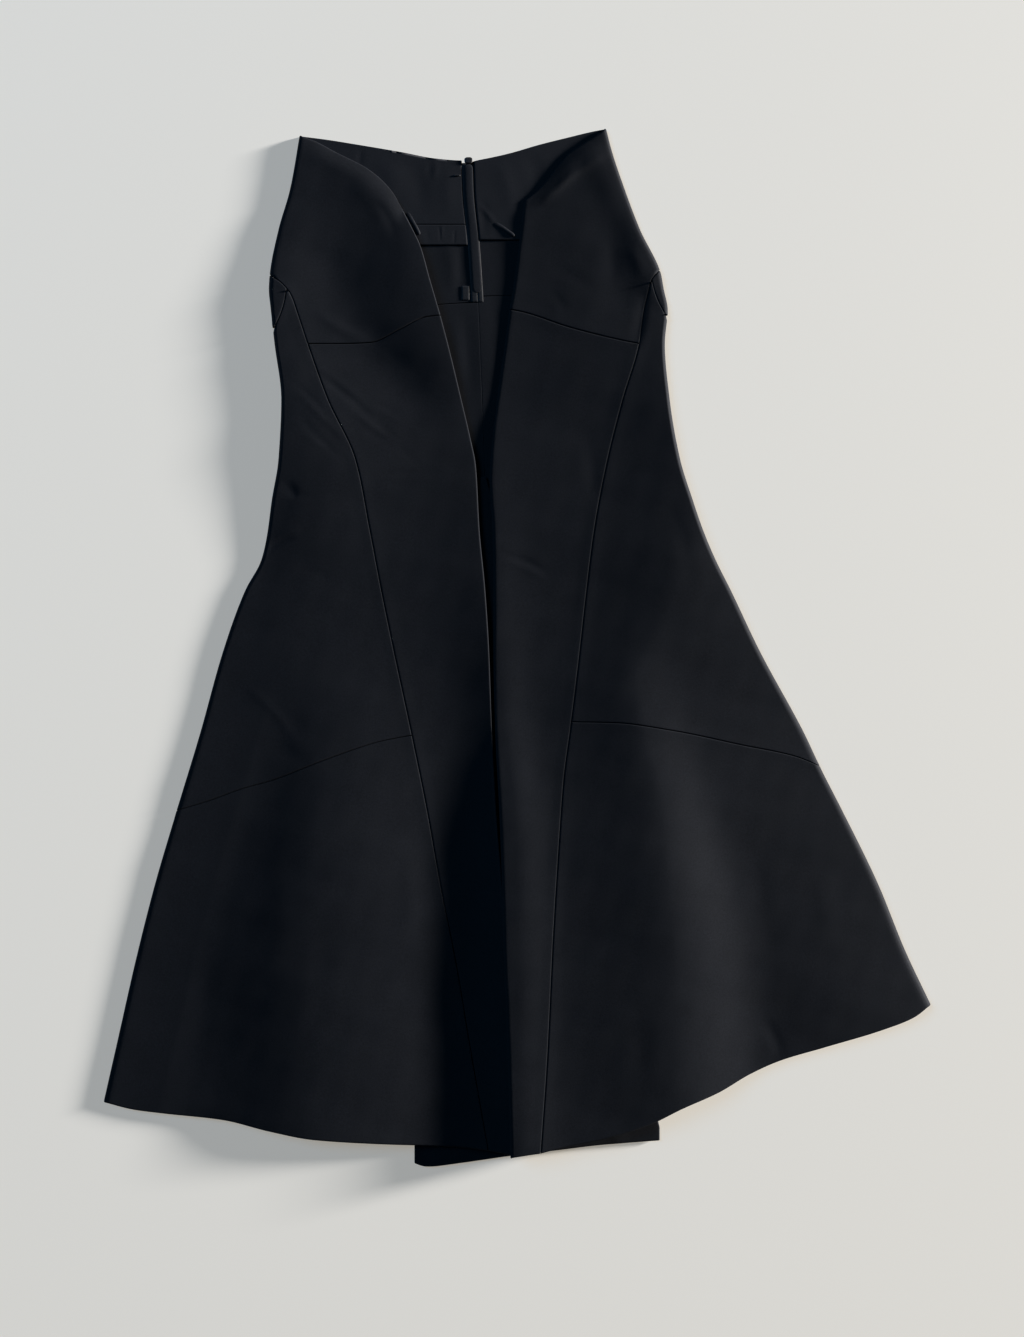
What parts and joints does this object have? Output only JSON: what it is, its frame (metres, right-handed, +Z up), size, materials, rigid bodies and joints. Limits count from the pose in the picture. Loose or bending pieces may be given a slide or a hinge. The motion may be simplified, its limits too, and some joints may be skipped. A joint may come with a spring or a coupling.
{
  "type": "mermaid fishtail skirt, laid flat",
  "caption": "Long fitted skirt with a flared fishtail hem and a centre front pleat, lying flat on its back with the waist parted in a V over its closed back zip.",
  "frame": {"origin": "centre of the bounding box in plan, on the surface that the skirt lies on", "axes": "+Z up from the surface, +Y from the hem to the waist, +X to the right as the skirt is seen from above"},
  "size_m": [0.867, 1.0869, 0.0233],
  "materials": {
    "crepe": "matte bonded crepe with a fine dry grain",
    "facing": "matte, smoother than the outside",
    "zip_tape": "smooth woven tape with a soft sheen",
    "metal": "black lacquer, satin"
  },
  "bodies": {
    "root": {"front_yoke_left": "crepe", "front_yoke_right": "crepe", "front_centre_left": "crepe", "front_centre_right": "crepe", "front_side_left": "crepe", "front_side_right": "crepe", "front_flare_left": "crepe", "front_flare_right": "crepe", "hip_turn_left": "crepe", "hip_turn_right": "crepe", "front_pleat": "crepe", "front_facing_left": "facing", "front_facing_right": "facing", "back_yoke_left": "crepe", "back_yoke_right": "crepe", "back_centre_left": "crepe", "back_centre_right": "crepe", "back_side_left": "crepe", "back_side_right": "crepe", "back_flare_left": "crepe", "back_flare_right": "crepe", "back_facing_left": "facing", "back_facing_right": "facing", "back_band_left": "facing", "zip_tape_left": "zip_tape", "zip_tape_right": "zip_tape", "zip_coil": "zip_tape", "zip_slider": "metal", "zip_stay": "zip_tape", "waist_hook": "metal"}
  },
  "joints": []
}
